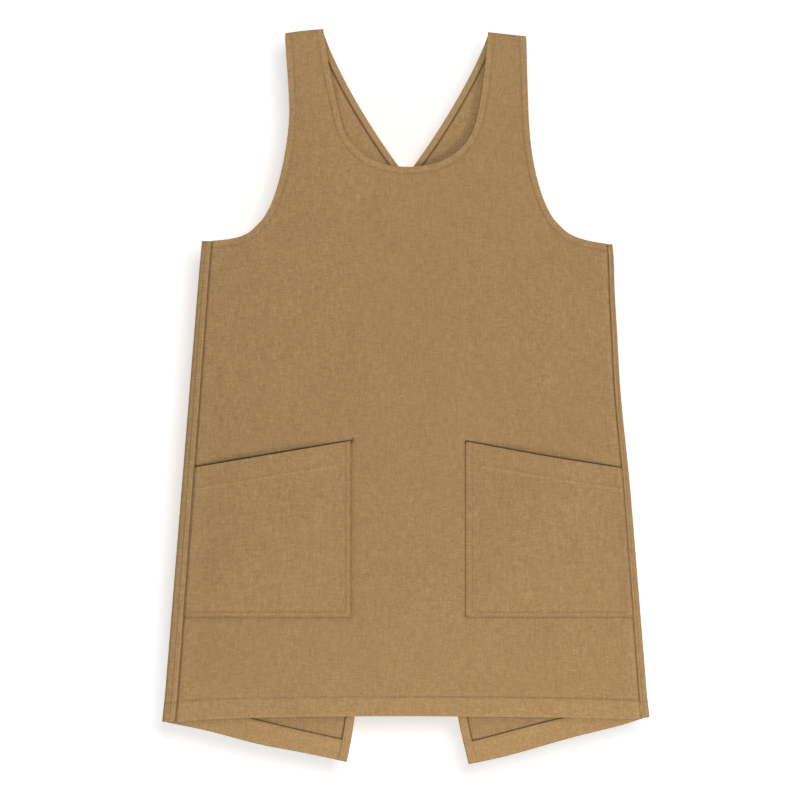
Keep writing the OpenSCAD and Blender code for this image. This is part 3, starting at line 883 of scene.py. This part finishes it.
def wrap_depth(side, pts):
    """Depth of the middle of the back cloth where it comes round to the front."""
    from_seam = abs(pts[:, 0]) - seam_x(side, pts[:, 1])
    to_fold = axis_x(pts[:, 1]) - abs(pts[:, 0])
    row = FELL_ROW[side]
    y = FRONT_Y - 0.25 + 1.1 * ridge(from_seam, 0, 0.9)
    y -= 0.45 * smooth(0.6, 1.8, from_seam) * (1 - smooth(row - 0.4, row + 0.6, from_seam))
    y += GROOVE * 0.8 * (ridge(from_seam, SEAM_ROW, 0.5) + ridge(from_seam, row, 0.7))
    y += 0.18 * rumple(pts, 16, 50.0 + side)
    y -= 0.4 * (1 - smooth(WRAP_HEM - 1, WRAP_HEM + 1, FRONT_LOW + pts[:, 1])) \
        * smooth(1, 3, from_seam)
    calm = smooth(0, 4, to_fold)
    return y * calm + FRONT_Y * (1 - calm)


def centre_facing_depth(side, pts):
    """The centre facing lies on the hem at the flap's lower corner."""
    hem, width = FLAP_EDGES[side][2]
    over = 1 - smooth(width - 1.5, width + 1.0, hem.distance(pts))
    return flap_depth(side, pts) - TURNED * over


def flap_lines(side):
    """A flap's armhole, centre-back and bottom edges."""
    return [line * [side, 1] for line in (FLAP_ARM, FLAP_CENTRE, FLAP_HEM)]


def make_back_cloth(word, side):
    """The flap, the side fold and the strip that comes round to the seam, in one cloth."""
    depth = partial(flap_depth, side)
    zs = np.linspace(-UNDERARM_DROP, -FRONT_LOW, 124)
    zs = np.unique(np.concatenate([zs, -FRONT_LOW + WRAP_HEM + np.array([-2, -1, 0, 1, 2])]))[::-1]
    fold = np.stack([side * axis_x(zs), zs], axis=1)
    arm_edge, centre_edge, hem_edge = flap_lines(side)
    arm, centre = resampled(arm_edge, EDGE_STEP), resampled(centre_edge, PANEL_STEP)
    hem = resampled(hem_edge, PANEL_STEP)
    seam = resampled([flap_seam_in * [side, 1], flap_seam_out * [side, 1]], EDGE_STEP)
    outline = joined(arm, fold, hem[::-1], centre[::-1], seam[::-1])[:-1]
    guides = guides_beside(arm_edge, -side, ROW_OFFSETS, EDGE_STEP)
    guides += guides_beside(centre_edge, side, CENTRE_OFFSETS, PANEL_STEP)
    guides += guides_beside(hem_edge, side, BACK_HEM_OFFSETS, PANEL_STEP)
    flat, triangles = fill(outline, guides, STEP)
    # round the side fold, then on to the seam
    tilt = math.atan(SIDE_RUN)
    out, back = np.array([side * math.cos(tilt), 0, math.sin(tilt)]), np.array([0, 1, 0])
    axis, start_y = at_depth(fold, np.zeros(len(fold))), depth(fold)
    rows = []
    for a in np.linspace(0, math.pi, FOLD_ROWS):
        radius = (start_y + (-FRONT_Y - start_y) * a / math.pi)[:, None]
        rows.append(axis + radius * math.sin(a) * out + radius * math.cos(a) * back)
    gap = axis_x(zs) - seam_x(side, zs)
    for share in np.linspace(0.06, 1, 25):
        strip = np.stack([side * (axis_x(zs) - share * gap), zs], axis=1)
        rows.append(lifted(strip, partial(wrap_depth, side)))
    parts = [(lifted(flat, depth), triangles), grid_sheet(rows)]
    parts += [turned_over(line, depth, inward, -1) for line, inward in
              ((arm, -side), (centre, side), (hem, side))]
    skin = thick(*merged(parts))
    y, pts = skin[0][:, 1], skin[0][:, [0, 2]]
    inner = np.where(y < depth(pts), 1.0, 0.15)
    # wear and painted highlight on the flap's turned edges, painted shade in their stitched grooves
    # and in the crevices beside them
    wear_and_painted_light = 1.0
    for line, width in FLAP_EDGES[side]:
        wear_and_painted_light = wear_and_painted_light * edge_wear_and_painted_light(line.distance(pts), width)
    for line, width in FLAP_EDGES[side][:0:-1]:
        wear_and_painted_light *= crevice_shade(inner, line.distance(pts), width)
    # the strip round to the seam is painted a little paler, with painted shade in the seam, at the
    # second row and along the back hem's stitching, and painted highlights on the ridges between
    from_seam = abs(pts[:, 0]) - seam_x(side, pts[:, 1])
    row = FELL_ROW[side]
    strip = 1.05 - 0.34 * ridge(from_seam, 0, 1.0) + 0.08 * ridge(from_seam, 1.9, 0.7)
    strip += 0.12 * ridge(from_seam, row - 1.3, 0.8) - 0.30 * ridge(from_seam, row, 0.8)
    strip -= 0.30 * ridge(pts[:, 1], WRAP_HEM - FRONT_LOW, 1.0) * smooth(0, 1, from_seam)
    return finished(f"{word}_back_linen", skin, np.where(y < 0, strip, wear_and_painted_light), FACE,
                    [f"{word}_back_flap", f"{word}_side_wrap"])


FELL_HALF, FELL_Y, FELL_PLY = 3.0, 1.9, 0.9    # a side seam's allowances, behind the front cloth
backs, flap_parts = {}, {}
for word, side in SIDES.items():
    body = f"{word}_back"
    backs[side] = make_back_cloth(word, side)
    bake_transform(backs[side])
    depth, over_hem = partial(flap_depth, side), partial(centre_facing_depth, side)
    arm_edge, centre_edge, hem_edge = flap_lines(side)
    hem = make_band(f"{word}_flap_hem", body, trimmed(hem_edge, 1.5, 3),
                    side * EDGE_GAP, side * BACK_HEM, depth, -FACING_Y)
    centre = make_band(f"{word}_flap_centre_facing", body, trimmed(centre_edge, 4, 0.5),
                       side * EDGE_GAP, side * CENTRE_HEM, over_hem, -FACING_Y)
    arm = make_band(f"{word}_flap_armhole_facing", body, trimmed(arm_edge, 3, 3),
                    -side * EDGE_GAP, -side * EDGE_HEM, depth, -FACING_Y)
    rows = [(beside(trimmed(hem_edge, CENTRE_HEM, 4), side * (BACK_HEM - ROW_IN)), depth),
            (beside(trimmed(centre_edge, 6, 2), side * (CENTRE_HEM - ROW_IN)), over_hem),
            (beside(trimmed(arm_edge, 4, 4), -side * (EDGE_HEM - ROW_IN)), depth)]
    thread = make_stitches(f"{word}_flap", body,
                           [on_face(line, at, -1, FACING_Y + TURNED / 2) for line, at in rows],
                           SEEDS["flap"] + side, [on_face(line, depth, 1) for line, _ in rows])
    flap_parts[side] = [hem, centre, arm, thread]

    seam = resampled(SEAMS[side], 2.0)
    seam_bands[side] = make_band(f"{word}_side_seam", "front", trimmed(SEAMS[side], EDGE_HEM, 1),
                                 -FELL_HALF, FELL_HALF, lambda pts: np.full(len(pts), FRONT_Y),
                                 FELL_Y, t=FELL_PLY)
    rows = [on_face(seam + [side * d, 0], partial(wrap_depth, side), -1)
            for d in (SEAM_ROW, FELL_ROW[side])]
    side_stitches[side] = make_stitches(f"{word}_side", "front", rows, SEEDS["side"] + side)


# -------- pockets

def make_pocket(word, side):
    corners, depth = POCKETS[side], partial(pocket_depth, side)
    mouth_edge, centre_edge, low_edge = corners[:2], corners[[3, 0]], corners[[2, 3]]
    mouth = resampled(mouth_edge, PANEL_STEP)
    outline = joined(mouth, *(resampled(edge, SEAM_STEP)
                              for edge in (corners[1:3], low_edge, centre_edge)))[:-1]
    guides = guides_beside(mouth_edge, -side, MOUTH_OFFSETS, 3.5)
    guides += guides_beside(centre_edge, -side, SEWN_OFFSETS, 3.5)
    guides += guides_beside(low_edge, -side, SEWN_OFFSETS, 3.5)
    guides += guides_beside(corners[1:3], -side, POCKET_SEAM_OFFSETS, PANEL_STEP)
    flat, triangles = fill(outline, guides, STEP)
    skin = thick(*merged([(lifted(flat, depth), triangles), turned_over(mouth, depth, -side)]))
    pts = skin[0][:, [0, 2]]
    sewn, lip = POCKET_SEWN[side].distance(pts), POCKET_MOUTH[side].distance(pts)
    near_row, far_row = SEWN_ROWS
    # painted shade in the stitched grooves along the pocket's sewn edges and mouth hem, a painted
    # highlight between the rows, and a little wear at the mouth
    wear_and_painted_light = edge_wear_and_painted_light(lip, MOUTH_HEM, 0.05, 0.02) \
        * (1 + 0.04 * ridge(sewn, 4, 3) - 0.10 * ridge(sewn, far_row, 0.9)
           - 0.10 * ridge(sewn, near_row, 0.6))
    # a painted highlight just past the mouth hem's stitching, and painted shade just inside it
    wear_and_painted_light *= 1 + 0.20 * ridge(lip, MOUTH_HEM + 1.2, 0.8) - 0.12 * ridge(lip, MOUTH_HEM - 0.9, 0.8)
    pocket = finished(f"{word}_pocket_linen", skin, wear_and_painted_light, FACE, [f"{word}_pocket"], "front")
    hem = make_band(f"{word}_pocket_mouth_hem", "front", trimmed(mouth_edge, 3, 3),
                    -side * EDGE_GAP, -side * MOUTH_HEM, depth, FACING_Y)
    rows = [beside(trimmed(edge, start, end), -side * d) for edge, start, end, d in
            ((mouth_edge, 3, 1, MOUTH_HEM), (centre_edge, 2, 2, near_row),
             (centre_edge, 8, 2, far_row), (low_edge, 1, 2, near_row), (low_edge, 1, 8, far_row))]
    thread = make_stitches(f"{word}_pocket", "front", [on_face(row, depth, -1) for row in rows],
                           SEEDS["pocket"] + side)
    return pocket, hem, thread


pockets = {side: make_pocket(word, side) for word, side in SIDES.items()}


# -------- back straps

STRAP_LAP, STRAP_LAP_Y = 9.0, 1.05    # how far a strap laps over the flap, and how far behind it
STRAP_HEM_Y = 0.85                    # how far its turned edges lie in front of it
STRAP_ROWS, STRAP_COLS = 90, 18


def strap_grid(side):
    """Rows of [x, z] points across a back strap that starts at a shoulder."""
    neck = resampled(joined(STRAP_NECK, [strap_end_in, strap_end_in + STRAP_LAP * CROSS]), 1.0)
    arm = resampled(joined(STRAP_ARM, [strap_end_out, strap_end_out + STRAP_LAP * CROSS]), 1.0)
    neck, arm = (spread(line, STRAP_ROWS + 1)[:, None] for line in (neck, arm))
    across = np.linspace(0, 1, STRAP_COLS)[None, :, None]
    return (neck * (1 - across) + arm * across) * [side, 1]


def strap_depth(side, pts):
    """Depth of the middle of the strap that starts at this side's shoulder."""
    fall = np.linalg.norm((pts * [side, 1] - (strap_top_in + strap_top_out) / 2), axis=1)
    cross_y = LEFT_CROSS_Y if side == LEFT else RIGHT_CROSS_Y
    y = FOLD_MID + (cross_y - FOLD_MID) * smooth(10, 170, fall)
    seam_gap = (pts * [side, 1] - strap_end_in) @ CROSS
    y += (FLAP_Y + STRAP_LAP_Y - cross_y) * smooth(-58, 0, seam_gap)
    free = smooth(15, 60, fall) * (1 - smooth(-12, -2, seam_gap))
    edge = STRAP_EDGES[side].distance(pts)
    relief = BACK_LIFT * (1 - smooth(EDGE_HEM - 0.5, EDGE_HEM + 0.7, edge))
    relief -= GROOVE * ridge(edge, EDGE_HEM - ROW_IN, 0.8)
    return y + (relief + 0.35 * rumple(pts, 45, 40.0 + side)) * free


def make_strap(word, side):
    depth = partial(strap_depth, side)
    top = roll(side)[-1]
    rows = [lifted(spread(row, len(top)), depth) for row in strap_grid(side)[1:]]
    skin = thick(*merged([grid_sheet([top] + rows)]))
    pts = skin[0][:, [0, 2]]
    edge = STRAP_EDGES[side].distance(pts)
    inner = np.where(skin[0][:, 1] < depth(pts), 1.0, 0.15)
    # wear and painted highlight on the turned edges, painted shade in the stitched groove and in the
    # crevice under each edge
    wear_and_painted_light = edge_wear_and_painted_light(edge, EDGE_HEM) * crevice_shade(inner, edge, EDGE_HEM)
    pieces = [finished(f"{word}_back_strap_linen", skin, wear_and_painted_light, WRONG, [f"{word}_back_strap"])]
    inner, outer = [], []
    for part, line, sign in (("neck", STRAP_NECK, side), ("arm", STRAP_ARM, -side)):
        line = line * [side, 1]
        pieces.append(make_band(f"{word}_strap_{part}_hem", None, trimmed(line, 7, 1),
                                sign * 0.2, sign * EDGE_HEM, depth, -STRAP_HEM_Y))
        row = beside(trimmed(line, 9, 2), sign * (EDGE_HEM - ROW_IN))
        inner.append(on_face(row, depth, -1, STRAP_HEM_Y + TURNED / 2))
        outer.append(on_face(row, depth, 1))
    for d in (SEAM_ROW, STRAP_LAP - SEAM_ROW):
        ends = np.array([strap_end_in, strap_end_out]) + d * CROSS
        outer.append(on_face(trimmed(ends * [side, 1], 1.5, 1.5), depth, 1))
    pieces.append(make_stitches(f"{word}_strap", None, inner, SEEDS["strap"] + side, outer))
    for piece in pieces:
        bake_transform(piece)
    return pieces


straps = {side: make_strap(word, side) for word, side in SIDES.items()}


# -------- each side's pocket pieces, unpacked and not used further


for word, side in SIDES.items():
    pocket, hem, thread = pockets[side]


# -------- stage, light and camera

WHITE = (0.92, 0.92, 0.92, 1)
FRAME_W = 1.040                # width of the view at the garment
VIEW_CENTRE = Vector((-0.0078, 0, -0.4784))
BACKDROP_Y = 0.115             # clear of the flaps when they swing back
FLOOR_Z, FLOOR_HALF = -1.06, 4


def stage_plane(name, corners, one_sided, glow):
    """A plane that glows faintly and, if one-sided, is seen only from its front."""
    mesh = bpy.data.meshes.new(name)
    mesh.from_pydata(corners, [], [list(range(len(corners)))])
    material, tree, shader = nodes_of(name)
    set_inputs(shader, {"Base Color": WHITE, "Roughness": 1.0, "Specular IOR Level": 0.0,
                        "Emission Color": (0.93, 0.965, 1, 1), "Emission Strength": glow})
    if one_sided:
        mix = tree.nodes.new("ShaderNodeMixShader")
        clear = tree.nodes.new("ShaderNodeBsdfTransparent")
        geometry = tree.nodes.new("ShaderNodeNewGeometry")
        tree.links.new(geometry.outputs["Backfacing"], mix.inputs["Fac"])
        tree.links.new(shader.outputs[0], mix.inputs[1])
        tree.links.new(clear.outputs[0], mix.inputs[2])
        tree.links.new(mix.outputs[0], tree.nodes["Material Output"].inputs["Surface"])
    mesh.materials.append(material)
    obj = placed(name, mesh)
    return obj


backdrop = stage_plane("backdrop", [(-3, BACKDROP_Y, FLOOR_Z), (3, BACKDROP_Y, FLOOR_Z),
                                    (3, BACKDROP_Y, 3), (-3, BACKDROP_Y, 3)], True, 0.39)
stage_plane("floor", [(x * FLOOR_HALF, y * FLOOR_HALF, FLOOR_Z)
                      for x, y in ((-1, -1), (1, -1), (1, 1), (-1, 1))], False, 0.18)

world = bpy.data.worlds.new("studio")
bpy.context.scene.world = world
world.use_nodes = True
set_inputs(world.node_tree.nodes["Background"], {"Color": (1, 1, 1, 1), "Strength": 0.30})


def area_light(name, size, power, place, target=VIEW_CENTRE):
    """A soft light, in metres and watts."""
    data = bpy.data.lights.new(name, "AREA")
    data.shape = "RECTANGLE"
    data.size, data.size_y = size
    data.energy = power
    obj = placed(name, data)
    obj.location = place
    obj.rotation_euler = (Vector(target) - Vector(place)).to_track_quat("-Z", "Y").to_euler()
    return obj


key = area_light("key", (0.95, 0.95), 64, (0.42, -3.9, 0.10))
rake = area_light("rake", (0.5, 0.5), 34, (1.9, -1.5, -1.0))
low_fill = area_light("low_fill", (0.7, 0.2), 5.2, (0.0, -0.5, -1.5), (0, 0, -0.85))
high_fill = area_light("high_fill", (0.8, 0.8), 16, (-0.9, -1.6, 0.9))
top_fill = area_light("top_fill", (0.5, 0.2), 1.4, (0, -0.5, 0.45), (0, 0, -0.03))
behind = area_light("behind", (1.6, 1.6), 105, (0.9, 2.6, 0.9))
# The key lights the cloth and the backdrop, the others only the cloth
cloth, before_wall = (bpy.data.collections.new(name) for name in ("cloth", "cloth_and_backdrop"))
for piece in ALL_PIECES:
    cloth.objects.link(piece)
    before_wall.objects.link(piece)
before_wall.objects.link(backdrop)
key.light_linking.receiver_collection = before_wall
for lamp in (rake, low_fill, high_fill, top_fill, behind):
    lamp.light_linking.receiver_collection = cloth
    lamp.light_linking.blocker_collection = cloth

LENS, SENSOR_W = 150, 36
camera_data = bpy.data.cameras.new("camera")
camera_data.lens, camera_data.sensor_width, camera_data.clip_end = LENS, SENSOR_W, 50
camera = placed("camera", camera_data)
camera.location = VIEW_CENTRE - Vector((0, FRAME_W * LENS / SENSOR_W, 0))
camera.rotation_euler = (math.radians(90), 0, 0)
bpy.context.scene.camera = camera
bpy.context.scene.view_settings.view_transform = "Standard"
